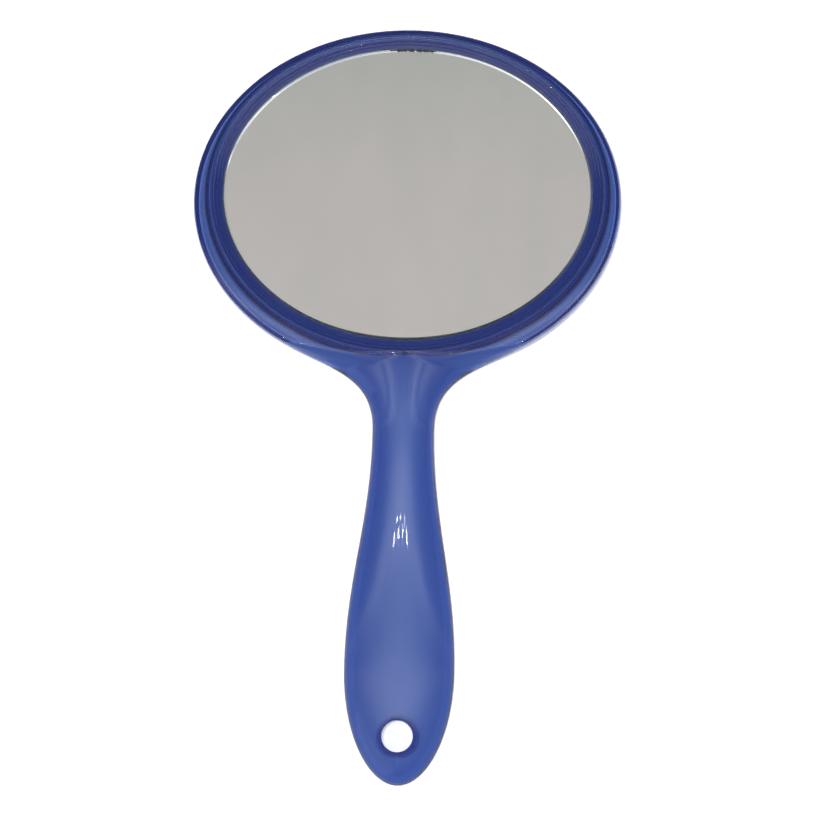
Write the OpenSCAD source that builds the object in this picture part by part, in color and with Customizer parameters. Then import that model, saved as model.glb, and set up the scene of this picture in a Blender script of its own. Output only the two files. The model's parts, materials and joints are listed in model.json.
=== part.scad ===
// Two-sided oval hand mirror, lying flat.
// +Z comes out of the front mirror, +Y runs from the handle to the head.
// The origin is at mid-length and mid-width, on the plane of the rear rim.

/* [Head] */
// Width of the head across the rim
head_w = 159; // [154:1:164]
// Height of the head from the top of the rim to the bottom of its ellipse
head_h = 129; // [127:1:131]
// Overall length with the handle
length = 280; // [276:1:284]
// Overall thickness over both rims
thickness = 14; // [14:0.5:18]
// Thickness of the lip over each bezel
lip_t = 2.2; // [2:0.1:2.4]
// Inset of the outer edge rounding on the rim
rim_round = 1; // [0.6:0.2:3]
// Wall at the side of the hollow rim
rim_wall = 2; // [1.8:0.1:2.4]
// Straight land each side of the parting line
edge_land = 0.8; // [0.4:0.1:1.2]

/* [Handle] */
// Depth by which the outside falls from the middle of the handle to its edge rounding
crown = 1.2; // [0.6:0.1:1.6]
// Inset of the outer edge rounding on the handle
grip_round = 6.5; // [5:0.5:7]
// Wall over the hollow of the handle
grip_wall = 2.8; // [2.4:0.1:3.2]
// Wall at the sides of the hollow handle
side_wall = 4; // [3:0.1:5]
// Narrowest width of the neck
neck_w = 23; // [22:0.5:26]
// Distance of the neck below the overall middle
neck_drop = 9; // [6:1:14]
// Widest width of the grip
grip_w = 40.8; // [36:0.2:44]
// Distance of the widest place of the grip above the end
grip_end = 42; // [38:1:48]
// Diameter of the hanging hole
hole_d = 11.5; // [8:0.5:12]
// Distance of the hanging hole above the end
hole_up = 18; // [16:0.5:20]
// Wall of the tube round the hanging hole
tube_wall = 1; // [0.8:0.1:1.4]

/* [Mirrors] */
// Visible width of each mirror
mirror_w = 136; // [132:0.5:137]
// Visible height of each mirror
mirror_h = 108; // [106:0.5:109]
// Distance of the mirror's middle below the top of the rim
mirror_drop = 61.5; // [61:0.5:63]
// Width of the bezel that shows round each mirror
bezel_w = 4.8; // [4.4:0.1:5]
// Thickness of the glass
glass_t = 2; // [1.6:0.1:2.2]
// Thickness of the silver coat with its backing paint
silver_t = 0.2; // [0.15:0.05:0.3]
// Thickness of the board between the mirrors
core_t = 2.4; // [2:0.1:2.6]

/* [Hidden] */
$fn = 96;

half_t = thickness / 2;
half_l = length / 2;
head_rx = head_w / 2;
head_ry = head_h / 2;
head_y = half_l - head_ry;
mirror_y = half_l - mirror_drop;
end_y = -half_l;
hole_y = end_y + hole_up;
grip_y = end_y + grip_end;
neck_y = -neck_drop;

gap = 0.15;           // clearance round each bezel and each glass
lap = 0.7;            // overlap of the bezel's front lip on the glass, and of the shell's lip on the bezel
seam_deep = 1;        // depth of the stepped joint between the shells
seam_in = 1.1;        // width of the outer half of that joint
seam_gap = 0.05;      // clearance on each side of that joint
chamber_wall = 0.8;   // rib round the mirror chamber
hollow_rise = 1.4;    // height of the hollow in the rim, for each unit of its width
rim_hollow = 3.4;     // its greatest height
rim_crown = 0.2;      // depth by which the rim falls from its crest to its edge rounding
neck_thicker = 1.3;   // how much thicker the wall over the hollow is where the neck meets the head

// Ellipses round the mirror, each as [half width, half height]
opening = [mirror_w / 2, mirror_h / 2];
lip = opening + [bezel_w, bezel_w];
bezel_out = lip - [gap, gap];
flange = lip + [lap - gap, lap - gap];
chamber = lip + [lap, lap];
glass_out = opening + [lap, lap];

// Heights above the middle plane
lip_low = half_t - lip_t;
flange_low = lip_low - 1.2;
bezel_top = half_t - 0.2;
glass_top = half_t - 2.4;
glass_low = glass_top - glass_t;
silver_low = glass_low - silver_t;
core_top = core_t / 2;
step_w = bezel_w / 4;
step_t = (bezel_top - glass_top - 0.8) / 3;

// Outline of the right half, from the end of the handle up to the top of the head
neck_end = -56;       // angle on the head's ellipse where the neck's curve leaves it
function bezier(p, t) = pow(1 - t, 3) * p[0] + 3 * pow(1 - t, 2) * t * p[1]
    + 3 * (1 - t) * t * t * p[2] + pow(t, 3) * p[3];
function oval_at(c, r, a) = [r[0] * cos(a), c + r[1] * sin(a)];
head_join = oval_at(head_y, [head_rx, head_ry], neck_end);
join_run = [-head_rx * sin(neck_end), head_ry * cos(neck_end)];
join_dir = join_run / norm(join_run);
cap_curve = [[0, end_y], [10.5, end_y], [grip_w / 2, grip_y - 24], [grip_w / 2, grip_y]];
grip_curve = [[grip_w / 2, grip_y], [grip_w / 2, grip_y + 35], [neck_w / 2, neck_y - 35],
    [neck_w / 2, neck_y]];
neck_curve = [[neck_w / 2, neck_y], [neck_w / 2, neck_y + 20], head_join - 18 * join_dir, head_join];

// Each stretch has its own number of columns
n_cap = 6;
n_grip = 5;
n_neck = 10;
n_head = 32;
n_half = n_cap + n_grip + n_neck + n_head;
n_all = 2 * n_half;
n_spine = n_cap + n_grip + n_neck / 2;   // columns up to here end on the handle's spine
lip_bottom = mirror_y - lip[1];

function edge_half(i) =
    i < n_cap ? bezier(cap_curve, i / n_cap)
    : i < n_cap + n_grip ? bezier(grip_curve, (i - n_cap) / n_grip)
    : i < n_half - n_head ? bezier(neck_curve, (i - n_cap - n_grip) / n_neck)
    : oval_at(head_y, [head_rx, head_ry], head_angle(i));

// Angle round the mirror at which a column of the shoulder or of the head ends
function shoulder_angle(i) = -90 + (neck_end + 90) * (i - n_spine) / (n_neck / 2);
function head_angle(i) = neck_end + (90 - neck_end) * (i - n_half + n_head) / n_head;

// Where each column ends: on the spine of the handle, or on the lip's ellipse grown by "out"
function crest_half(i, out) =
    i <= n_cap ? [0, hole_y + (grip_y - hole_y) * i / n_cap]
    : i <= n_cap + n_grip ? [0, edge_half(i)[1]]
    : i <= n_spine ? [0, neck_y + (lip_bottom - neck_y) * (i - n_cap - n_grip) / (n_neck / 2)]
    : oval_at(mirror_y, lip + [out, out], i < n_half - n_head ? shoulder_angle(i) : head_angle(i));

// How far a column has turned from the hollow handle, 0, to the rim, 1
function rim_half(i) = min(1, max(0, (i - n_spine) / (n_neck / 2)));

function flip(p) = [-p[0], p[1]];
function edge(i) = i <= n_half ? edge_half(i) : flip(edge_half(n_all - i));
function crest(i, out = 0) = i <= n_half ? crest_half(i, out) : flip(crest_half(n_all - i, out));
function rim(i) = rim_half(i <= n_half ? i : n_all - i);
function ends_under_lip(i) = i >= n_spine && i <= n_all - n_spine;

// Height of the hollow over the spine, which falls where the neck nears the head
function grip_roof(i) =
    let (along_neck = (min(i, n_all - i) - n_cap - n_grip) / (n_neck / 2))
    half_t - grip_wall - neck_thicker * pow(min(1, max(0, along_neck)), 4);

function inward(i) =
    let (along = edge((i + 1) % n_all) - edge((i + n_all - 1) % n_all))
    [-along[1], along[0]] / norm(along);
function mix(a, b, t) = a + (b - a) * t;
function at_height(p, z) = [p[0], p[1], z];

// One column of the shell: over the outside from the parting plane to the crest, under the lip into
// the mirror chamber, round the chamber's rib, over the hollow, and down to the stepped joint.
// seam_z is where the inner half of the joint ends, and seam_x is how far in it starts.
function column(i, seam_z, seam_x) =
    let (
        p = edge(i), q = crest(i), c = crest(i, lap), n = inward(i), s = rim(i),
        d = norm(q - p),
        toward = function (inset) p + mix(n, (q - p) / d, min(1, 2 * inset / d)) * inset,
        r = min(mix(grip_round, rim_round, s), 0.85 * d),
        top = half_t - mix(crown, rim_crown, s),
        spare = norm(c - p) - seam_x,
        b = crest(i, lap + min(chamber_wall, 0.35 * spare)),
        a = toward(min(mix(side_wall, rim_wall, s), seam_x + 0.35 * spare)),
        roof = mix(grip_roof(i), min(rim_hollow, hollow_rise * norm(a - b)), s),
        apex = s / 2,
        arch = function (t) at_height(mix(b, a, t < 90 ? apex * (1 - cos(t)) : mix(apex, 1, -cos(t))),
            mix(seam_z, roof, sin(t)))
    )
    [
        at_height(p, 0),
        at_height(p, edge_land),
        for (t = [22.5 : 22.5 : 90]) at_height(toward(r * (1 - cos(t))), mix(edge_land, top, sin(t))),
        for (t = [0.4, 0.75]) at_height(toward(mix(r, d, t)),
            mix(half_t, top, pow(1 - min(1, t / 0.75), 2))),
        at_height(q, half_t),
        at_height(q, ends_under_lip(i) ? lip_low : roof),
        at_height(c, lip_low),
        at_height(c, seam_z),
        at_height(b, seam_z),
        for (t = [30 : 30 : 150]) arch(t),
        at_height(a, seam_z),
        at_height(toward(seam_x), seam_z),
        at_height(toward(seam_x), 0)
    ];

rings = 21;
outer_crest = 8;      // the outside ends on the crest here
inner_crest = 9;      // and the inside starts here
arch_top = 15;        // highest point of the hollow

// Half shell as one closed surface. Columns of the handle share their points on the spine, where
// the chamber and its rib shrink to nothing.
module half_shell(seam_z, seam_x) {
    points = [for (i = [0 : n_all - 1]) each column(i, seam_z, seam_x)];
    on_spine = function (i) i <= n_spine || i >= n_all - n_spine;
    at = function (i, j) let (on_crest = on_spine(i) && j >= outer_crest && j <= arch_top)
        rings * (on_crest && i > n_half ? n_all - i : i) + (on_crest ? min(j, inner_crest) : j);
    quad_ids = function (i, j) let (i2 = (i + 1) % n_all, j2 = (j + 1) % rings)
        [at(i, j), at(i2, j), at(i2, j2), at(i, j2)];
    // Quads are split the same way on both sides of the spine, so that none is flat against it
    split = function (q, other) other
        ? [[q[3], q[1], q[0]], [q[3], q[2], q[1]]]
        : [[q[2], q[1], q[0]], [q[3], q[2], q[0]]];
    faces = [for (i = [0 : n_all - 1], j = [0 : rings - 1])
        if (!(j == outer_crest && on_spine(i) && on_spine((i + 1) % n_all)))
            for (f = split(quad_ids(i, j), (i < n_half) == (j < outer_crest)))
                if (f[0] != f[1] && f[1] != f[2] && f[2] != f[0]) f];
    polyhedron(points, faces);
}

// Elliptical plate round the mirror's middle, between two heights
module oval(r, z0, z1) {
    translate([0, mirror_y, z0]) scale([r[0] / r[1], 1, 1]) cylinder(r = r[1], h = z1 - z0);
}

// Stretch of the chamber's rib across the hollow neck, ending inside the rib on both sides
module neck_wall(z0) {
    arc = [for (i = [0 : 8]) 2 * i - 8];
    near = [for (a = arc) oval_at(mirror_y, chamber + [0.1, 0.1], a - 90)];
    rib_out = chamber + [chamber_wall - 0.1, chamber_wall - 0.1];
    far = [for (a = arc) oval_at(mirror_y, rib_out, -a - 90)];
    translate([0, 0, z0]) linear_extrude(lip_low + 0.5 - z0) polygon(concat(near, far));
}

module at_hole(z) {
    translate([0, hole_y, z]) children();
}

// Shell with the tube round its hanging hole
module pierced_shell(seam_z, seam_x) {
    difference() {
        union() {
            half_shell(seam_z, seam_x);
            neck_wall(seam_z);
            at_hole(0) cylinder(d = tube_d, h = half_t - 1);
            children();
        }
        at_hole(-half_t) cylinder(d = hole_d, h = thickness);
        at_hole(half_t - 0.6) cylinder(d1 = hole_d, d2 = hole_d + 1.6, h = 0.8);
    }
}

tube_d = hole_d + 2 * tube_wall;
spigot_h = 1.5;       // how far the front tube reaches into the rear one
socket_d = tube_d + 2 * seam_gap;

module front_half() {
    pierced_shell(-seam_deep + seam_gap, seam_in + seam_gap)
        at_hole(-spigot_h) cylinder(d = tube_d, h = spigot_h + 1);
}

module rear_half() {
    difference() {
        pierced_shell(seam_deep, seam_in)
            at_hole(0) cylinder(d = socket_d + 2 * tube_wall, h = spigot_h + 0.8);
        at_hole(-1) cylinder(d = socket_d, h = spigot_h + seam_gap + 1);
    }
}

// Stepped ring that falls from the rim crest to the glass, with a flange under the shell's lip
module bezel() {
    difference() {
        union() {
            oval(bezel_out, 0, bezel_top);
            oval(flange, flange_low, lip_low);
        }
        oval(glass_out + [gap, gap], -1, glass_top);
        oval(opening, -1, half_t);
        for (i = [1:3]) oval(opening + i * [step_w, step_w], bezel_top - (4 - i) * step_t, half_t);
    }
}

module foam_ring() {
    difference() {
        oval(glass_out - [2, 2], core_top, silver_low);
        oval(glass_out - [14, 14], 0, half_t);
    }
}

// Front parts face up and rear parts face down, about the parting plane
module facing(side) {
    translate([0, 0, half_t]) mirror([0, 0, side == "front" ? 0 : 1]) children();
}

module front_shell() { color([0.36, 0.44, 0.68, 0.55]) facing("front") front_half(); }
module rear_shell() { color([0.33, 0.41, 0.66, 0.55]) facing("rear") rear_half(); }
module front_bezel() { color([0.16, 0.22, 0.45, 0.7]) facing("front") bezel(); }
module rear_bezel() { color([0.16, 0.22, 0.45, 0.7]) facing("rear") bezel(); }
module front_glass() { color([0.8, 0.85, 0.84, 0.4]) facing("front") oval(glass_out, glass_low, glass_top); }
module rear_glass() { color([0.8, 0.85, 0.84, 0.4]) facing("rear") oval(glass_out, glass_low, glass_top); }
module front_silvering() { color([0.7, 0.69, 0.68]) facing("front") oval(glass_out, silver_low, glass_low); }
module rear_silvering() { color([0.7, 0.69, 0.68]) facing("rear") oval(glass_out, silver_low, glass_low); }
module core_plate() { color([0.12, 0.12, 0.14]) facing("front") oval(glass_out, -core_top, core_top); }
module front_foam_ring() { color([0.25, 0.25, 0.26]) facing("front") foam_ring(); }
module rear_foam_ring() { color([0.25, 0.25, 0.26]) facing("rear") foam_ring(); }

front_shell();
rear_shell();
front_bezel();
rear_bezel();
front_glass();
rear_glass();
front_silvering();
rear_silvering();
core_plate();
front_foam_ring();
rear_foam_ring();
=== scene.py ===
"""Looks of a translucent blue two-sided hand mirror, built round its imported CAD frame."""

import json
import math

import bpy
import numpy as np
from mathutils import Matrix, Vector


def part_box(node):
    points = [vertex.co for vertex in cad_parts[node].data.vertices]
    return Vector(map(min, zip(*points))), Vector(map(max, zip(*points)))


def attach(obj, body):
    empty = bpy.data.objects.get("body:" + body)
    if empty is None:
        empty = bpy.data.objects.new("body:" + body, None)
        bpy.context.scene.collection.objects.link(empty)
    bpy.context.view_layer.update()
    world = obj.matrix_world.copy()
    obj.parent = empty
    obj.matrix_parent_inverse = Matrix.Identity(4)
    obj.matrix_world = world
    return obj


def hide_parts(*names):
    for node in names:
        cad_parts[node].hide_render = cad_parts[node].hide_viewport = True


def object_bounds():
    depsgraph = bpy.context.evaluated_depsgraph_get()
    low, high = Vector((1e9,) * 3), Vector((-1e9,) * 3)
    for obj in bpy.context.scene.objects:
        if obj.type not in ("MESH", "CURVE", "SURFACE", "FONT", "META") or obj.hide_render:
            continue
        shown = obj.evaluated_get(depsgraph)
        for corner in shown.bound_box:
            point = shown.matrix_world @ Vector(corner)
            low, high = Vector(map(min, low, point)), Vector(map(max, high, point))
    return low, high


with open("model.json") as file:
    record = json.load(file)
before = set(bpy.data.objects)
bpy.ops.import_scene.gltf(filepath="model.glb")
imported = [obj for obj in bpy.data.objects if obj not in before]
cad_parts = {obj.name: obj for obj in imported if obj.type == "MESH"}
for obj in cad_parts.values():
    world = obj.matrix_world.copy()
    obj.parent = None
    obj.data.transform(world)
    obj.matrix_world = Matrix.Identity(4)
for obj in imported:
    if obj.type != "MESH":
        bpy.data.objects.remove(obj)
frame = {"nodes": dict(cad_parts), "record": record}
CAD_LOW, CAD_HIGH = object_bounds()
MM = 0.001

# ---------------------------------------------------------------- sizes: the frame's, then the finer ones
MID_Z = (CAD_LOW.z + CAD_HIGH.z) / 2
HALF_T = (CAD_HIGH.z - CAD_LOW.z) / 2
HALF_L = (CAD_HIGH.y - CAD_LOW.y) / 2
HEAD_RX = (CAD_HIGH.x - CAD_LOW.x) / 2
HEAD_RY = 64.5 * MM         # half height of the head
HEAD_Y = HALF_L - HEAD_RY

HOLE = next(m for m in frame["record"]["mounts"] if m["name"] == "hanging_hole")
HOLE_Y = HOLE["pos_m"][1]
HOLE_R = HOLE["dims"]["r_mm"] * MM
TUBE_WALL = 1.0 * MM        # wall of the tube round the hanging hole
TUBE_R = HOLE_R + TUBE_WALL


def node_oval(name):
    """Half width, half height and middle of an oval CAD node."""
    low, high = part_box(name)
    return (high.x - low.x) / 2, (high.y - low.y) / 2, (high.y + low.y) / 2


def heights(name):
    """Lowest and highest point of a CAD node above the parting plane."""
    low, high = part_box(name)
    return low.z - MID_Z, high.z - MID_Z


LAP = 0.7 * MM              # overlap of the bezel on the glass, and of the shell's lip on the bezel
GAP = 0.15 * MM             # clearance round each bezel and each glass
SLIT = 0.05 * MM            # the line that shows between bezel and lip
LIP_T = 2.2 * MM            # thickness of the shell's lip over the bezel
GRIP_WALL = 3.1 * MM        # wall of the handle over its hollow
SIDE_WALL = 2.6 * MM        # wall beside the handle's hollow
RIM_WALL = 2.0 * MM         # wall beside the rim's hollow
FLANGE_T = 1.2 * MM         # thickness of the bezel's flange
FLANGE_RX, FLANGE_RY, MIRROR_Y = node_oval("front_bezel")
GLASS_RX, GLASS_RY, _ = node_oval("front_glass")
LIP = (FLANGE_RX - LAP + GAP, FLANGE_RY - LAP + GAP)
OPENING = (GLASS_RX - LAP, GLASS_RY - LAP)
GLASS_LOW, GLASS_TOP = heights("front_glass")
SILVER_LOW = heights("front_silvering")[0]
BEZEL_LOW, BEZEL_TOP = heights("front_bezel")
LIP_LOW = HALF_T - LIP_T
FLANGE_LOW = LIP_LOW - FLANGE_T

GRIP_W = 20.4 * MM          # half width of the grip
GRIP_Y = -HALF_L + 42 * MM
NECK_W = 11.5 * MM          # half width of the neck
NECK_Y = -9 * MM
NECK_JOIN = math.radians(-56)   # where the neck's curve leaves the head's ellipse
TIP_PULL, CAP_PULL = 10.5 * MM, 24 * MM     # how far each curve's handles reach from its ends
GRIP_PULL = 35 * MM
NECK_PULL, JOIN_PULL = 20 * MM, 18 * MM
CHAMBER_WALL = 0.8 * MM     # rib round the mirror chamber
RIB_GROWTH = 6              # the rib is whole after one sixth of the shoulder, counted from the spine
HOLLOW_RISE = 1.4           # height of the hollow in the rim, for each unit of its width
RIM_HOLLOW = 3.4 * MM       # its greatest height
BEZEL_EDGE = 0.9 * MM       # height of the bezel's inner edge over the glass
NECK_THICKER = 1.0 * MM     # how much thicker the wall over the hollow is where the neck meets the head
PARTING = 0.02 * MM         # half the gap between pieces that meet on the parting plane
FILM = 0.04 * MM            # gap between other faces that rest on each other


# ---------------------------------------------------------------- outline
def bezier(points, t):
    """Point at t on the cubic curve of four points."""
    p = np.array(points)
    return ((1 - t) ** 3 * p[0] + 3 * (1 - t) ** 2 * t * p[1]
            + 3 * (1 - t) * t * t * p[2] + t ** 3 * p[3])


def oval_at(middle_y, radii, angle):
    """Point at an angle on an oval whose middle lies on the y axis."""
    return np.array([radii[0] * math.cos(angle), middle_y + radii[1] * math.sin(angle)])


JOIN = oval_at(HEAD_Y, (HEAD_RX, HEAD_RY), NECK_JOIN)
JOIN_DIR = np.array([-HEAD_RX * math.sin(NECK_JOIN), HEAD_RY * math.cos(NECK_JOIN)])
JOIN_DIR /= np.linalg.norm(JOIN_DIR)
CAP = [(0, -HALF_L), (TIP_PULL, -HALF_L), (GRIP_W, GRIP_Y - CAP_PULL), (GRIP_W, GRIP_Y)]
GRIP = [(GRIP_W, GRIP_Y), (GRIP_W, GRIP_Y + GRIP_PULL), (NECK_W, NECK_Y - GRIP_PULL), (NECK_W, NECK_Y)]
NECK = [(NECK_W, NECK_Y), (NECK_W, NECK_Y + NECK_PULL), tuple(JOIN - JOIN_PULL * JOIN_DIR), tuple(JOIN)]
LIP_BOTTOM = MIRROR_Y - LIP[1]

N_CAP, N_GRIP, N_NECK, N_HEAD = 20, 26, 36, 96      # columns along each stretch of the half outline
N_HALF = N_CAP + N_GRIP + N_NECK + N_HEAD
N_ALL = 2 * N_HALF
N_SPINE = N_CAP + N_GRIP + N_NECK // 2              # the last column whose crest is on the spine


def half_column(i):
    """A column of the right half: edge, crest, angle round the mirror and place.

    The angle is None on the spine. The place is -1 on the grip, 0 at the neck's top, 1 on the rim.
    """
    if i < N_CAP:
        t = i / N_CAP
        return bezier(CAP, t), np.array([0, HOLE_Y + (GRIP_Y - HOLE_Y) * t]), None, -1.0
    if i <= N_CAP + N_GRIP:
        edge = bezier(GRIP, (i - N_CAP) / N_GRIP)
        return edge, np.array([0, edge[1]]), None, -1.0
    if i < N_HALF - N_HEAD:
        edge = bezier(NECK, (i - N_CAP - N_GRIP) / N_NECK)
        t = (i - N_CAP - N_GRIP) / (N_NECK / 2)
        if t <= 1:
            return edge, np.array([0, NECK_Y + (LIP_BOTTOM - NECK_Y) * t]), None, t - 1
        turn = -math.pi / 2 + (NECK_JOIN + math.pi / 2) * (t - 1)
        return edge, oval_at(MIRROR_Y, LIP, turn), turn, t - 1
    turn = NECK_JOIN + (math.pi / 2 - NECK_JOIN) * (i - N_HALF + N_HEAD) / N_HEAD
    return oval_at(HEAD_Y, (HEAD_RX, HEAD_RY), turn), oval_at(MIRROR_Y, LIP, turn), turn, 1.0


def all_columns():
    """Edge, crest, angle, place and inward normal of every column, right round the outline."""
    half = [half_column(i) for i in range(N_HALF + 1)]
    flip = np.array([-1, 1])
    full = half + [(edge * flip, crest * flip, turn if turn is None else math.pi - turn, place)
                   for edge, crest, turn, place in half[N_HALF - 1:0:-1]]
    edges = np.array([column[0] for column in full])
    along = np.roll(edges, -1, 0) - np.roll(edges, 1, 0)
    normals = np.stack([-along[:, 1], along[:, 0]], 1)
    normals /= np.linalg.norm(normals, axis=1)[:, None]
    return [(*column, normal) for column, normal in zip(full, normals)]


# ---------------------------------------------------------------- meshes
def new_object(name, points, faces, sharp=30):
    """Smooth-shaded object whose edges stay sharp above an angle."""
    mesh = bpy.data.meshes.new(name)
    mesh.from_pydata([tuple(p) for p in points], [], faces)
    mesh.validate()
    mesh.shade_smooth()
    mesh.set_sharp_from_angle(angle=math.radians(sharp))
    obj = bpy.data.objects.new(name, mesh)
    bpy.context.scene.collection.objects.link(obj)
    return obj


def flipped(obj, name, node_names):
    """The rear twin of a front piece: turned over about the parting plane."""
    mesh = obj.data.copy()
    turn = Matrix.Translation((0, 0, 2 * MID_Z)) @ Matrix.Diagonal((1, 1, -1, 1))
    mesh.transform(turn)
    mesh.flip_normals()
    twin = bpy.data.objects.new(name, mesh)
    bpy.context.scene.collection.objects.link(twin)
    placed(twin, node_names)


def placed(obj, node_names):
    """Hangs a piece on the root body and hides the CAD nodes that it stands for."""
    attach(obj, "root")
    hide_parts(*node_names)
    return obj


def swept_ring(name, profile, radii, count=384):
    """Closed ring round the mirror: profile points are (outset from radii, height)."""
    points = []
    for i in range(count):
        a = 2 * math.pi * i / count
        for out, height in profile:
            x, y = (radii[0] + out) * math.cos(a), (radii[1] + out) * math.sin(a)
            points.append((x, MIRROR_Y + y, MID_Z + height))
    n = len(profile)
    faces = []
    for i in range(count):
        here, after = i * n, (i + 1) % count * n
        faces += [(here + j, after + j, after + (j + 1) % n, here + (j + 1) % n) for j in range(n)]
    return new_object(name, points, faces)


def cut_or_join(obj, tool, how):
    """Applies one boolean and removes its tool."""
    mod = obj.modifiers.new("cut", "BOOLEAN")
    mod.operation, mod.object, mod.solver = how, tool, "EXACT"
    bpy.context.view_layer.update()
    mesh = bpy.data.meshes.new_from_object(obj.evaluated_get(bpy.context.evaluated_depsgraph_get()))
    obj.modifiers.clear()
    obj.data = mesh
    bpy.data.objects.remove(tool)


def turned(name, profile, count=96):
    """Closed solid turned about the hanging hole's axis, with flat ends: profile is (radius, height)."""
    n = len(profile)
    points, faces = [], []
    for i in range(count):
        a = 2 * math.pi * i / count
        here, after = i * n, (i + 1) % count * n
        points += [(r * math.cos(a), HOLE_Y + r * math.sin(a), MID_Z + z) for r, z in profile]
        faces += [(here + j, after + j, after + j + 1, here + j + 1) for j in range(n - 1)]
    faces.append([i * n + n - 1 for i in range(count)])
    faces.append([i * n for i in reversed(range(count))])
    return new_object(name, points, faces)


# ---------------------------------------------------------------- shells
OUTSIDE = [1 - math.cos(math.radians(a)) for a in range(5, 91, 5)]      # shares of the way to the crest
ARCH = [math.radians(a) for a in range(15, 180, 15)]                    # angles over the hollow's roof
OUTER_CREST = len(OUTSIDE) + 1      # the outside ends on the crest here
INNER_CREST = OUTER_CREST + 1       # and the inside starts here
ARCH_TOP = INNER_CREST + 4 + ARCH.index(math.radians(90))
EDGE_LAND = 0.6 * MM                # upright stretch of the outer edge beside the seam
EDGE_SLOPE = 0.03 * MM              # how far that stretch leans in
SEAM_IN = 1.1 * MM                  # outer edge to the step in the seam
SEAM_SIDE = 0.05 * MM               # clearance in the seam and in the socket
SEAM_HIGH, SEAM_LOW = 1.0 * MM, -0.95 * MM      # where the rear and the front shell end inside the seam
RIM_ROUND = 1.0 * MM                # rounding of the rim's edge
CROWN = 0.2 * MM                    # fall of the rim's face to its outer edge
GRIP_FLATNESS, RIM_FLATNESS = 1 / 2.6, 1 / 2.2  # exponents of the rounding: smaller is fuller
GRIP_FULLNESS, RIM_FULLNESS = 2.0, 0.4          # exponents of the hollow's arch: smaller is fuller
SHOULDER_SHARE = 0.35               # share of a narrow place that a rib or a wall may take
NECK_CUT = (-97, -83)               # angles between which the rib crosses the hollow neck


def mixed(a, b, t):
    """The value a share t of the way from a to b."""
    return a + (b - a) * t


def outside_height(inset, width, rim):
    """Height of the rounded outside: the handle is round right across, and the rim has a tighter edge."""
    rounding = min(1.0, inset / mixed(width, min(RIM_ROUND, 0.85 * width), rim))
    top = HALF_T - CROWN * rim * (1 - inset / width) ** 2
    flatness = mixed(GRIP_FLATNESS, RIM_FLATNESS, rim)
    return EDGE_LAND + (top - EDGE_LAND) * (1 - (1 - rounding) ** 2) ** flatness


def shell_section(edge, crest, angle, place, normal, seam_z, seam_x):
    """One closed section of a half shell: over the outside, round the chamber's rib and over the hollow."""
    rim, neck = max(0, place), min(1, place + 1)
    run = crest - edge
    d = np.linalg.norm(run)

    def mirror_oval(out):
        return crest if angle is None else oval_at(MIRROR_Y, (LIP[0] + out, LIP[1] + out), angle)

    def toward(inset):
        t = min(1.0, 2 * inset / d)
        return edge + (normal * (1 - t) + run / d * t) * inset

    chamber = mirror_oval(LAP)
    spare = np.linalg.norm(chamber - edge) - seam_x
    rib = mirror_oval(LAP + min(CHAMBER_WALL * min(1, RIB_GROWTH * rim) ** 2, SHOULDER_SHARE * spare))
    foot = toward(min(mixed(SIDE_WALL, RIM_WALL, rim), seam_x + SHOULDER_SHARE * spare))
    grip_roof = HALF_T - GRIP_WALL - NECK_THICKER * neck ** 2
    roof = mixed(grip_roof, min(RIM_HOLLOW, HOLLOW_RISE * np.linalg.norm(foot - rib)), rim)
    fullness = mixed(GRIP_FULLNESS, RIM_FULLNESS, rim)

    def arch(a):
        apex = rim / 2
        t = apex * (1 - math.cos(a)) if a < math.pi / 2 else mixed(apex, 1, -math.cos(a))
        return mixed(rib, foot, t), mixed(seam_z, roof, math.sin(a) ** fullness)

    section = [(toward(0), PARTING), (toward(EDGE_SLOPE), EDGE_LAND)]
    section += [(toward(d * u), outside_height(d * u, d, rim)) for u in OUTSIDE]
    section += [(crest, roof if place < 0 else LIP_LOW)]
    section += [(chamber, LIP_LOW), (chamber, seam_z), (rib, seam_z)]
    section += [arch(a) for a in ARCH]
    section += [(foot, seam_z), (toward(seam_x), seam_z), (toward(seam_x), PARTING)]
    return [(p[0], p[1], MID_Z + z) for p, z in section]


def half_shell(name, seam_z, seam_x):
    """Half shell as one closed surface. Columns of the handle share their points on the spine."""
    sections = [shell_section(*column, seam_z, seam_x) for column in all_columns()]
    rings = len(sections[0])

    def on_spine(i):
        return i <= N_SPINE or i >= N_ALL - N_SPINE

    def index(i, j):
        if on_spine(i) and OUTER_CREST <= j <= ARCH_TOP:
            i, j = (N_ALL - i if i > N_HALF else i), min(j, INNER_CREST)
        return i * rings + j

    faces = []
    for i in range(N_ALL):
        k = (i + 1) % N_ALL
        for j in range(rings):
            m = (j + 1) % rings
            if j == OUTER_CREST and on_spine(i) and on_spine(k):
                continue
            corners = list(dict.fromkeys((index(i, j), index(k, j), index(k, m), index(i, m))))
            if len(corners) > 2:
                faces.append(corners)
    points = [point for section in sections for point in section]
    used = sorted({v for f in faces for v in f})
    renumber = {v: n for n, v in enumerate(used)}
    return new_object(name, [points[v] for v in used], [[renumber[v] for v in f] for f in faces])


def neck_wall(low):
    """Stretch of the chamber's rib across the hollow neck, ending inside the rib on both sides."""
    angles = np.radians(np.linspace(*NECK_CUT, 15))
    inside = 0.15 * MM
    loop = []
    for out, turns in ((LAP + CHAMBER_WALL - inside, angles), (LAP + inside, angles[::-1])):
        loop += [oval_at(MIRROR_Y, (LIP[0] + out, LIP[1] + out), a) for a in turns]
    points = [(p[0], p[1], MID_Z + z) for z in (low, LIP_LOW + 0.5 * MM) for p in loop]
    n = len(loop)
    faces = [(i, (i + 1) % n, n + (i + 1) % n, n + i) for i in range(n)]
    faces += [list(reversed(range(n))), list(range(n, 2 * n))]
    return new_object("neck_wall", points, faces)


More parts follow.
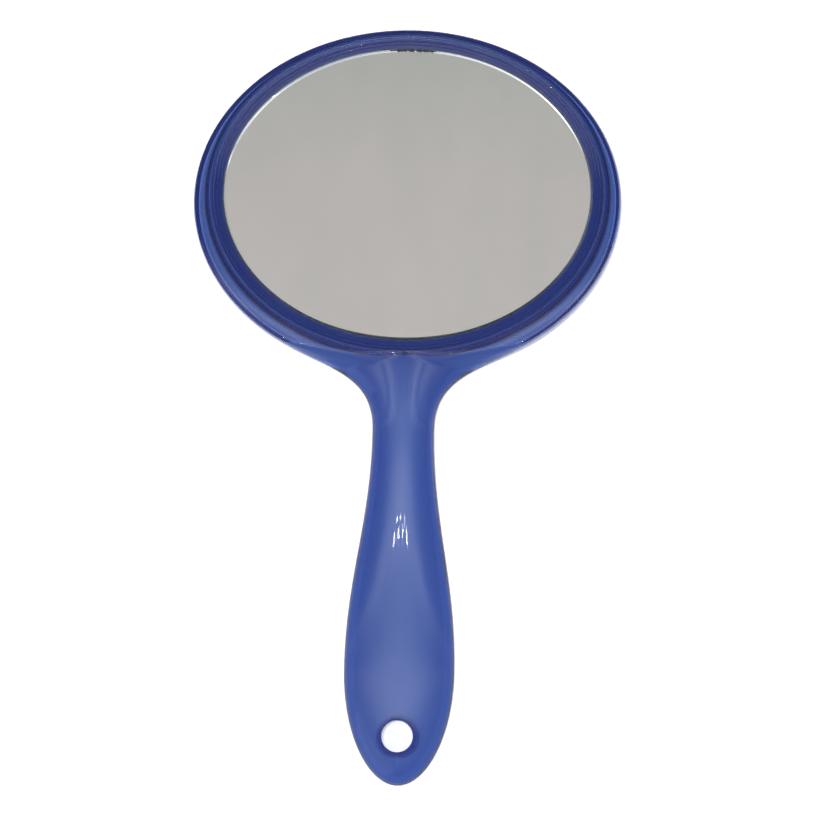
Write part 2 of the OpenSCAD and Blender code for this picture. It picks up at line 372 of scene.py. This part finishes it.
SPIGOT_H = 1.5 * MM                 # length of the spigot under the front half of the tube
SOCKET_R = TUBE_R + SEAM_SIDE
TUBE_TOP = HALF_T - 1.2 * MM        # the tube ends here, inside the handle's wall
SHOULDER_H = SPIGOT_H + 0.8 * MM    # top of the thicker wall round the socket
MOUTH = 0.7 * MM                    # rounding of the hole's mouth


def hole_cutter(socket):
    """The bore with a rounded mouth, and with a socket for the other shell's spigot where it has one."""
    foot = [(HOLE_R, -HALF_T)]
    if socket:
        foot = [(SOCKET_R, -HALF_T), (SOCKET_R, SPIGOT_H + SEAM_SIDE), (HOLE_R, SPIGOT_H + SEAM_SIDE)]
    arc = [(HOLE_R + MOUTH * (1 - math.cos(a)), HALF_T - MOUTH * (1 - math.sin(a)))
           for a in np.radians(np.linspace(0, 90, 9))]
    return turned("bore", foot + arc + [(HOLE_R + MOUTH, HALF_T + 2 * MM)])


def finished_shell(name, seam_z, seam_x, socket):
    """Half shell with its rib, its half of the hole's tube, and the bore."""
    shell = half_shell(name, seam_z, seam_x)
    cut_or_join(shell, neck_wall(seam_z + 0.01 * MM), "UNION")
    tube = [(TUBE_R, -SPIGOT_H), (TUBE_R, TUBE_TOP)]
    if socket:
        outer = SOCKET_R + TUBE_WALL
        tube = [(outer, PARTING), (outer, SHOULDER_H), (TUBE_R, SHOULDER_H), (TUBE_R, TUBE_TOP)]
    cut_or_join(shell, turned("tube", tube), "UNION")
    cut_or_join(shell, hole_cutter(socket), "DIFFERENCE")
    shell.data.shade_smooth()
    shell.data.set_sharp_from_angle(angle=math.radians(32))
    return shell


# ---------------------------------------------------------------- bezel, glass and silver
STEP = ((0.42, 0.1), (0.2, 0.3), (0.08, 0.8), (0, 1))   # one step: shares of its width and of its drop


def bezel(name):
    """Stepped ring from the rim's crest down to the glass, with fine rounded steps."""
    steps = 4
    outer = LIP[0] - SLIT - OPENING[0]
    width = outer / steps
    low, top = BEZEL_LOW + PARTING, BEZEL_TOP
    drop = (top - GLASS_TOP - BEZEL_EDGE) / steps
    flange_top = LIP_LOW - FILM
    profile = [(outer, low), (outer, FLANGE_LOW), (outer + LAP, FLANGE_LOW), (outer + LAP, flange_top),
               (outer, flange_top), (outer, top - SLIT), (outer - SLIT, top)]
    for k in range(steps):
        high = top - k * drop
        inner = outer - (k + 1) * width
        profile += [(inner + across * width, high - down * drop) for across, down in STEP]
    profile += [(0, GLASS_TOP), (LAP + GAP, GLASS_TOP), (LAP + GAP, low)]
    return swept_ring(name, profile, OPENING)


def plate(name, radii, low, high, bevel, fall, edge=lambda a: 0.0, count=384):
    """Oval plate whose rim is bevelled by a width and a fall; edge(angle) draws the rim in, for chips and
    for painted shade at the foot.
    """
    rings = [(-0.01 * MM, low), (0, low + 0.01 * MM), (0, high - fall), (-bevel, high)]
    points, faces = [], []
    for out, z in rings:
        for i in range(count):
            a = 2 * math.pi * i / count
            pull = edge(a)
            points.append(((radii[0] + out - pull) * math.cos(a),
                           MIRROR_Y + (radii[1] + out - pull) * math.sin(a), MID_Z + z))
    for r in range(len(rings) - 1):
        for i in range(count):
            k = (i + 1) % count
            faces.append((r * count + i, r * count + k, (r + 1) * count + k, (r + 1) * count + i))
    faces.append(list(reversed(range(count))))
    faces.append([(len(rings) - 1) * count + i for i in range(count)])
    return new_object(name, points, faces, sharp=5)


# ---------------------------------------------------------------- materials
class Nodes:
    """A short way to build a material's nodes."""

    def __init__(self, name):
        self.material = bpy.data.materials.new(name)
        self.material.use_nodes = True
        self.tree = self.material.node_tree
        self.tree.nodes.clear()
        self.output = self.add("ShaderNodeOutputMaterial")
        self.shader = self.add("ShaderNodeBsdfPrincipled")
        self.link(self.shader, "BSDF", self.output, "Surface")

    def add(self, kind, **values):
        node = self.tree.nodes.new(kind)
        for key, value in values.items():
            setattr(node, key, value)
        return node

    def link(self, a, out, b, into):
        self.tree.links.new(a.outputs[out], b.inputs[into])

    def set(self, **values):
        for key, value in values.items():
            self.shader.inputs[key.replace("_", " ")].default_value = value

    def noise(self, scale, detail=4.0, roughness=0.55, stretch=None):
        where = self.add("ShaderNodeTexCoord")
        source, socket = where, "Object"
        if stretch:
            mapping = self.add("ShaderNodeMapping")
            mapping.inputs["Scale"].default_value = stretch
            self.link(where, "Object", mapping, "Vector")
            source, socket = mapping, "Vector"
        noise = self.add("ShaderNodeTexNoise")
        noise.inputs["Scale"].default_value = scale
        noise.inputs["Detail"].default_value = detail
        noise.inputs["Roughness"].default_value = roughness
        self.link(source, socket, noise, "Vector")
        return noise

    def ramp(self, source, stops):
        ramp = self.add("ShaderNodeValToRGB")
        elements = ramp.color_ramp.elements
        while len(elements) < len(stops):
            elements.new(0.5)
        for element, (position, value) in zip(elements, stops):
            element.position = position
            element.color = (*value, 1) if isinstance(value, tuple) else (value, value, value, 1)
        self.tree.links.new(source, ramp.inputs["Fac"])
        return ramp

    def bump(self, source, strength, distance):
        """Surface relief for the shader."""
        bump = self.add("ShaderNodeBump")
        bump.inputs["Strength"].default_value = strength
        bump.inputs["Distance"].default_value = distance
        self.tree.links.new(source, bump.inputs["Height"])
        self.link(bump, "Normal", self.shader, "Normal")

    def math(self, operation, *sources):
        node = self.add("ShaderNodeMath", operation=operation)
        for socket, source in zip(node.inputs, sources):
            if isinstance(source, bpy.types.NodeSocket):
                self.tree.links.new(source, socket)
            else:
                socket.default_value = source
        return node.outputs[0]

    def faces_parting(self):
        """1 on the satin inside of a moulding, which faces the parting plane, and 0 on its outside."""
        where, way = self.add("ShaderNodeSeparateXYZ"), self.add("ShaderNodeSeparateXYZ")
        geometry = self.add("ShaderNodeNewGeometry")
        self.link(geometry, "Position", where, "Vector")
        self.link(geometry, "Normal", way, "Vector")
        turned_back = self.math("MULTIPLY_ADD", geometry.outputs["Backfacing"], -2.0, 1.0)
        outward = self.math("MULTIPLY", way.outputs["Z"], turned_back)
        side = self.math("SIGN", self.math("SUBTRACT", where.outputs["Z"], MID_Z))
        return self.math("LESS_THAN", self.math("MULTIPLY", outward, side), -0.25)

    def either(self, switch, yes, no):
        """The value "yes" where the switch is 1, and "no" where it is 0."""
        kept = self.math("MULTIPLY", self.math("SUBTRACT", 1.0, switch), no)
        return self.math("MULTIPLY_ADD", switch, yes, kept)

    def absorb(self, color, density):
        volume = self.add("ShaderNodeVolumeAbsorption")
        volume.inputs["Color"].default_value = (*color, 1)
        volume.inputs["Density"].default_value = density
        self.link(volume, "Volume", self.output, "Volume")


SATIN = 0.45            # roughness of the shells' and bezels' insides
BLUE_DENSITY = 400      # absorption of the dyed plastic, per metre


def translucent_blue(name, pale, absorption):
    """Moulded clear blue plastic: glossy, faintly wavy, with fine handling scuffs."""
    m = Nodes(name)
    m.set(Transmission_Weight=1.0, IOR=1.49)
    cloud = m.noise(38, 3, 0.5, stretch=(1, 0.45, 1))
    colour = m.ramp(cloud.outputs["Fac"], [(0.3, tuple(c * 0.96 for c in pale)), (0.7, pale)])
    m.link(colour, "Color", m.shader, "Base Color")
    scuffs = m.noise(900, 6, 0.7, stretch=(1, 0.12, 1))
    rough = m.ramp(scuffs.outputs["Fac"], [(0.35, 0.015), (0.62, 0.03), (0.8, 0.12)])
    inside_or_out = m.either(m.faces_parting(), SATIN, rough.outputs["Color"])
    m.tree.links.new(inside_or_out, m.shader.inputs["Roughness"])
    waves = m.noise(55, 2, 0.4)
    m.bump(waves.outputs["Fac"], 0.04, 0.0006)
    m.absorb(absorption, BLUE_DENSITY)
    return m.material


def clear_glass():
    """Float glass with faint wipe marks and dust."""
    m = Nodes("float_glass")
    m.set(Transmission_Weight=1.0, IOR=1.5)
    haze = m.noise(60, 5, 0.6, stretch=(1, 0.5, 1))
    tone = m.ramp(haze.outputs["Fac"], [(0.3, (0.955, 0.975, 0.965)), (0.7, (0.985, 0.995, 0.99))])
    m.link(tone, "Color", m.shader, "Base Color")
    rough = m.ramp(haze.outputs["Fac"], [(0.4, 0.0), (0.75, 0.02)])
    m.link(rough, "Color", m.shader, "Roughness")
    return m.material


def silver():
    """Silver coat: a metal mirror, slightly warm, that dulls in faint clouds."""
    m = Nodes("silver_coat")
    m.set(Metallic=1.0)
    cloud = m.noise(9, 3, 0.5)
    tone = m.ramp(cloud.outputs["Fac"], [(0.3, (0.86, 0.85, 0.84)), (0.7, (0.885, 0.88, 0.87))])
    m.link(tone, "Color", m.shader, "Base Color")
    specks = m.noise(1400, 2, 0.5)
    rough = m.ramp(specks.outputs["Fac"], [(0.55, 0.015), (0.85, 0.05)])
    m.link(rough, "Color", m.shader, "Roughness")
    return m.material


def board():
    """Black pressed board."""
    m = Nodes("black_board")
    fibre = m.noise(1500, 6, 0.7, stretch=(1, 0.3, 1))
    tone = m.ramp(fibre.outputs["Fac"], [(0.3, (0.012, 0.012, 0.016)), (0.75, (0.04, 0.04, 0.048))])
    m.link(tone, "Color", m.shader, "Base Color")
    rough = m.ramp(fibre.outputs["Fac"], [(0.3, 0.65), (0.8, 0.9)])
    m.link(rough, "Color", m.shader, "Roughness")
    m.bump(fibre.outputs["Fac"], 0.4, 0.0001)
    return m.material


def foam():
    """Grey closed-cell foam."""
    m = Nodes("grey_foam")
    cells = m.add("ShaderNodeTexVoronoi")
    cells.inputs["Scale"].default_value = 2200
    where = m.add("ShaderNodeTexCoord")
    m.link(where, "Object", cells, "Vector")
    tone = m.ramp(cells.outputs["Distance"], [(0.1, (0.05, 0.05, 0.052)), (0.7, (0.1, 0.1, 0.103))])
    m.link(tone, "Color", m.shader, "Base Color")
    rough = m.ramp(cells.outputs["Distance"], [(0.1, 0.8), (0.7, 0.95)])
    m.link(rough, "Color", m.shader, "Roughness")
    m.bump(cells.outputs["Distance"], 0.5, 0.0002)
    return m.material


def paint(obj, material):
    obj.data.materials.clear()
    obj.data.materials.append(material)


# ---------------------------------------------------------------- pieces
CHIPS_AT, CHIPS_SPREAD = 88.5, 7.5      # middle and half spread of the chipped stretch, in degrees
CHIP_DEPTH, CHIP_WAVE = 0.95 * MM, 0.13 * MM
# Painted shade: at the foot the silver is cut back further, so the black board behind shows as a dark band
# under the bezel, standing in for shade in the gap there.
FOOT_SHADE_DEPTH = 0.95 * MM
BEVEL, BEVEL_FALL = 0.98 * MM, 0.25 * MM


def chips_and_shade_set_back(angle):
    """How far the silver's rim is set back: chipped at the top, and short of the bezel at the foot, where
    the black board behind shows through as painted shade.
    """
    turn = math.degrees(angle)
    near_top = 1 / (1 + ((turn - CHIPS_AT) / CHIPS_SPREAD) ** 6)
    wave = (math.sin(turn * 2.9 + 0.7) + math.sin(turn * 5.3 + 2.1) + 0.6 * math.sin(turn * 11.7)
            + 0.5 * math.sin(turn * 23.1 + 1.3))
    # Painted shade: this share grows towards the bottom of the oval, where the dark band is widest.
    foot = max(0.0, -math.sin(angle)) ** 2
    return LAP * 0.4 + (CHIP_DEPTH + CHIP_WAVE * wave) * near_top + FOOT_SHADE_DEPTH * foot


SHELL_BLUE = translucent_blue("shell_blue", (0.9, 0.93, 0.95), (0.09, 0.325, 0.745))
BEZEL_BLUE = translucent_blue("bezel_blue", (0.94, 0.96, 0.98), (0.09, 0.33, 0.72))
GLASS = clear_glass()
SILVER = silver()

front_shell = finished_shell("front_shell_moulding", SEAM_LOW, SEAM_IN + SEAM_SIDE, False)
placed(front_shell, ["front_shell"])
paint(front_shell, SHELL_BLUE)
rear_shell = finished_shell("rear_shell_blank", SEAM_HIGH, SEAM_IN, True)
paint(rear_shell, SHELL_BLUE)
flipped(rear_shell, "rear_shell_moulding", ["rear_shell"])
bpy.data.objects.remove(rear_shell)

front_bezel = placed(bezel("front_bezel_ring"), ["front_bezel"])
paint(front_bezel, BEZEL_BLUE)
flipped(front_bezel, "rear_bezel_ring", ["rear_bezel"])

front_glass = plate("front_mirror_glass", (GLASS_RX, GLASS_RY), GLASS_LOW + FILM, GLASS_TOP - FILM,
                    BEVEL, BEVEL_FALL)
placed(front_glass, ["front_glass"])
paint(front_glass, GLASS)
flipped(front_glass, "rear_mirror_glass", ["rear_glass"])

front_silver = plate("front_mirror_silver", (GLASS_RX, GLASS_RY), SILVER_LOW, GLASS_LOW,
                     0.02 * MM, 0.02 * MM, chips_and_shade_set_back, 1440)
placed(front_silver, ["front_silvering"])
paint(front_silver, SILVER)
flipped(front_silver, "rear_mirror_silver", ["rear_silvering"])

paint(frame["nodes"]["core_plate"], board())
FOAM = foam()
for foam_node in ("front_foam_ring", "rear_foam_ring"):
    paint(frame["nodes"][foam_node], FOAM)

# ---------------------------------------------------------------- floor, light and camera
FLOOR_SIZE = 6.0


def studio_floor():
    """Pale floor that glows a little, so that it stays plain round the mirror's shadow."""
    half = FLOOR_SIZE / 2
    low = CAD_LOW.z - 0.05 * MM
    floor = new_object("studio_floor", [(-half, -half, low), (half, -half, low), (half, half, low),
                                        (-half, half, low)], [(0, 1, 2, 3)])
    m = Nodes("pale_floor")
    grain = m.noise(30, 4, 0.6)
    tone = m.ramp(grain.outputs["Fac"], [(0.3, 0.90), (0.7, 0.92)])
    m.link(tone, "Color", m.shader, "Base Color")
    m.set(Roughness=0.9, Emission_Color=(1, 1, 1, 1), Emission_Strength=0.83)
    paint(floor, m.material)


SKY_AXIS = (-0.0716, 0.0, 0.9974)     # the sky's own zenith leans a little to the left
SKY = [(0.0, (0.82, 0.82, 0.82)), (0.35, (0.55, 0.55, 0.55)), (0.8, (0.42, 0.42, 0.42)),
       (0.9825, (0.445, 0.456, 0.454)), (0.984, (0.476, 0.481, 0.460)), (0.9854, (0.508, 0.492, 0.495)),
       (0.9873, (0.530, 0.497, 0.490)), (0.989, (0.584, 0.55, 0.545)), (1.0, (0.591, 0.556, 0.545))]
# A long soft light overhead: its strength against the y and the x of the direction to it.
# The ramps hold each strength as a share of GLOW_MOST, which keeps them between 0 and 1.
GLOW_MOST = 3
GLOW_ALONG = [(-1.0, 0.05), (-0.5, 0.1), (-0.15, 0.5), (-0.05, 0.9), (0.02, 1.5), (0.0377, 1.4),
              (0.0467, 0.8), (0.0578, 0.5), (0.0667, 1.0), (0.074, 1.5), (0.0812, 2.0), (0.0885, 1.1),
              (0.0956, 0.45), (0.112, 0.0)]
GLOW_ACROSS = [(-1.0, 0.1), (-0.6, 0.3), (-0.3, 0.9), (-0.07, 1.0), (0.15, 0.9), (0.4, 0.3), (0.8, 0.1)]


def studio_sky():
    """Grey overhead, which the mirror shows, brighter towards the horizon, with a soft light along it."""
    world = bpy.data.worlds.new("studio_sky")
    world.use_nodes = True
    bpy.context.scene.world = world
    tree = world.node_tree
    tree.nodes.clear()

    def add(kind, *sources, operation=None):
        node = tree.nodes.new(kind)
        if operation:
            node.operation = operation
        for socket, source in zip(node.inputs, sources):
            if hasattr(source, "is_output"):
                tree.links.new(source, socket)
            elif source is not None:
                socket.default_value = source
        return node

    def ramp(source, stops, low=0.0):
        node = add("ShaderNodeValToRGB", source)
        elements = node.color_ramp.elements
        while len(elements) < len(stops):
            elements.new(0.5)
        for element, (position, value) in zip(elements, stops):
            element.position = (position - low) / (1 - low)
            share = value if isinstance(value, tuple) else (value / GLOW_MOST,) * 3
            element.color = (*share, 1)
        return node.outputs["Color"]

    def halved(source):
        return add("ShaderNodeMath", source, 0.5, 0.5, operation="MULTIPLY_ADD").outputs[0]

    way = add("ShaderNodeTexCoord").outputs["Generated"]
    height = add("ShaderNodeVectorMath", way, SKY_AXIS, operation="DOT_PRODUCT").outputs["Value"]
    parts = add("ShaderNodeSeparateXYZ", way)
    sky = ramp(height, SKY)
    along = ramp(halved(parts.outputs["Y"]), GLOW_ALONG, low=-1.0)
    across = ramp(halved(parts.outputs["X"]), GLOW_ACROSS, low=-1.0)
    glow = add("ShaderNodeVectorMath", along, across, operation="MULTIPLY").outputs["Vector"]
    whole = (GLOW_MOST ** 2,) * 3
    sum_of_both = add("ShaderNodeVectorMath", glow, whole, sky, operation="MULTIPLY_ADD")
    back = add("ShaderNodeBackground", sum_of_both.outputs["Vector"])
    add("ShaderNodeOutputWorld", back.outputs["Background"])


def area_light(name, place, aim, size, power):
    """Rectangular lamp at a place, turned to its aim."""
    light = bpy.data.lights.new(name, "AREA")
    light.shape = "RECTANGLE"
    light.size, light.size_y = size
    light.energy = power
    obj = bpy.data.objects.new(name, light)
    bpy.context.scene.collection.objects.link(obj)
    place, aim = Vector(place), Vector(aim)
    obj.rotation_euler = (aim - place).to_track_quat("-Z", "Y").to_euler()
    obj.location = place


def camera():
    """Nearly overhead, a little on the handle's side and to the right, on a long lens."""
    tilt = math.radians(7)
    side = math.radians(-55)
    roll = math.radians(-1.0)
    distance = 1.674
    target = Vector((1.5 * MM, -0.8 * MM, MID_Z))
    away = Vector((math.sin(tilt) * math.cos(side), math.sin(tilt) * math.sin(side), math.cos(tilt)))
    data = bpy.data.cameras.new("photo_view")
    data.sensor_width = 36
    data.lens = 200
    data.clip_start = 0.01
    obj = bpy.data.objects.new("photo_view", data)
    bpy.context.scene.collection.objects.link(obj)
    up = Vector((math.sin(roll), math.cos(roll), 0))
    x_axis = up.cross(away).normalized()
    turn = Matrix((x_axis, away.cross(x_axis), away)).transposed()
    obj.matrix_world = Matrix.Translation(target + away * distance) @ turn.to_4x4()
    bpy.context.scene.camera = obj


def lamp_bank():
    """Two rows of small far lamps, which glint as short streaks on the crown of the handle."""
    middle_x, pitch, height = -0.114, 0.11, 1.6
    size, power = (0.03, 0.0045), 0.022
    for row, lamps, y in ((0, 3, 0.0805), (1, 4, 0.0688)):
        for k in range(lamps):
            x = middle_x + pitch * (k - (lamps - 1) / 2)
            area_light(f"lamp_{row}_{k}", (x, y, height), (x, y, 0), size, power)


studio_floor()
studio_sky()
area_light("key_soft", (-1.3, -0.9, 1.3), (0, 0, 0), (1.2, 1.2), 2)
area_light("back_soft", (0.1, 1.3, 1.5), (0, 0, 0), (1.6, 0.8), 2)
lamp_bank()
camera()
bpy.context.scene.view_settings.view_transform = "Standard"
